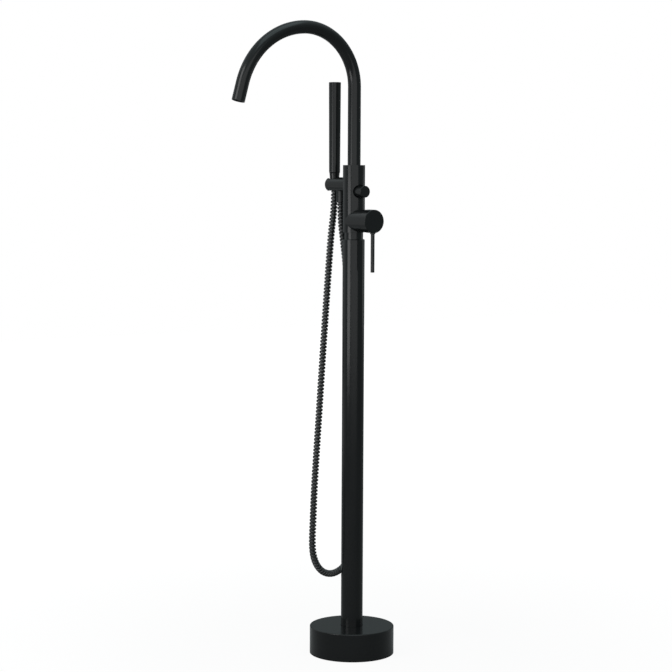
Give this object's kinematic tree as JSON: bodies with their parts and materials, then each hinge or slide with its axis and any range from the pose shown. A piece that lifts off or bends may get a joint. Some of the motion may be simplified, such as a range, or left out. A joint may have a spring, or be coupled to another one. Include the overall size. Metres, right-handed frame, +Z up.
{
  "type": "floor standing bath filler",
  "caption": "Matt black floor standing bath filler with a swivelling gooseneck spout, side pin-lever mixer, pull diverter and a slim stick handset on a hanging spiral hose.",
  "frame": {"origin": "on the floor, at the centre of the round base, on the column's axis", "axes": "+Z up along the column, +X the way the spout reaches, +Y the side of the mixer handle and the diverter knob, -Y the side of the handset holder"},
  "size_m": [0.3323, 0.1548, 1.1498],
  "materials": {
    "black_coat": "matt black powder coat",
    "brass": "machined",
    "steel": "black oxide",
    "flange_steel": "zinc coated",
    "rubber": "matt",
    "spray_rubber": "matt",
    "black_plastic": "matt",
    "white_plastic": "matt",
    "braid": "braided",
    "hose_metal": "spiral wound, matt black"
  },
  "bodies": {
    "stand": {"floor_gasket": "rubber", "floor_flange": "flange_steel", "collar_grub_screws": "steel", "base_cover": "black_coat", "cover_seal": "rubber", "column_tube": "black_coat", "column_head": "black_coat", "hot_inlet_union": "brass", "cold_inlet_union": "brass", "hot_supply_hose": "braid", "cold_supply_hose": "braid", "hot_hose_fitting": "brass", "cold_hose_fitting": "brass", "valve_body": "black_coat", "cartridge_seal": "rubber", "mixer_cartridge": "white_plastic", "cartridge_nut": "brass", "diverter_bonnet": "brass", "spout_bush": "white_plastic", "spout_thrust_washer": "white_plastic", "spout_stop_screw": "steel", "holder_arm": "black_coat", "holder_liner": "black_plastic", "holder_stud": "brass", "hose_nipple": "brass", "check_valve": "white_plastic", "outlet_washer": "rubber", "outlet_hose_nut": "black_coat", "shower_hose": "hose_metal"},
    "spout": {"spout_tube": "black_coat", "spout_sleeve": "brass", "spout_sealing_ring": "rubber", "aerator_ring": "black_plastic", "aerator_disc": "white_plastic"},
    "lever": {"mixer_stem": "brass", "handle_cap": "black_coat", "handle_pin": "black_coat", "handle_grub_screw": "steel"},
    "diverter": {"diverter_rod": "brass", "diverter_seal": "rubber", "diverter_knob": "black_coat", "knob_grub_screw": "steel"},
    "handset": {"handset_cone_nut": "black_coat", "handset_washer": "rubber", "handset_body": "black_coat", "handset_end_cap": "black_coat", "spray_carrier": "white_plastic", "nozzle_strip": "spray_rubber"}
  },
  "joints": [
    {"name": "spout_swivel", "type": "hinge", "parent": "stand", "child": "spout", "pos_m": [0, 0, 0.862], "axis": [0, 0, 1], "range_deg": [-60, 60]},
    {"name": "lever_turn", "type": "hinge", "parent": "stand", "child": "lever", "pos_m": [0, 0.056, 0.7955], "axis": [0, 1, 0], "range_deg": [0, 100]},
    {"name": "diverter_pull", "type": "slide", "parent": "stand", "child": "diverter", "axis": [0, 1, 0], "range_m": [0, 0.008], "stiffness_N_per_m": 300, "springref_m": -0.003},
    {"name": "handset_lift", "type": "slide", "parent": "stand", "child": "handset", "axis": [0, 0, 1], "range_m": [0, 0.03]}
  ]
}
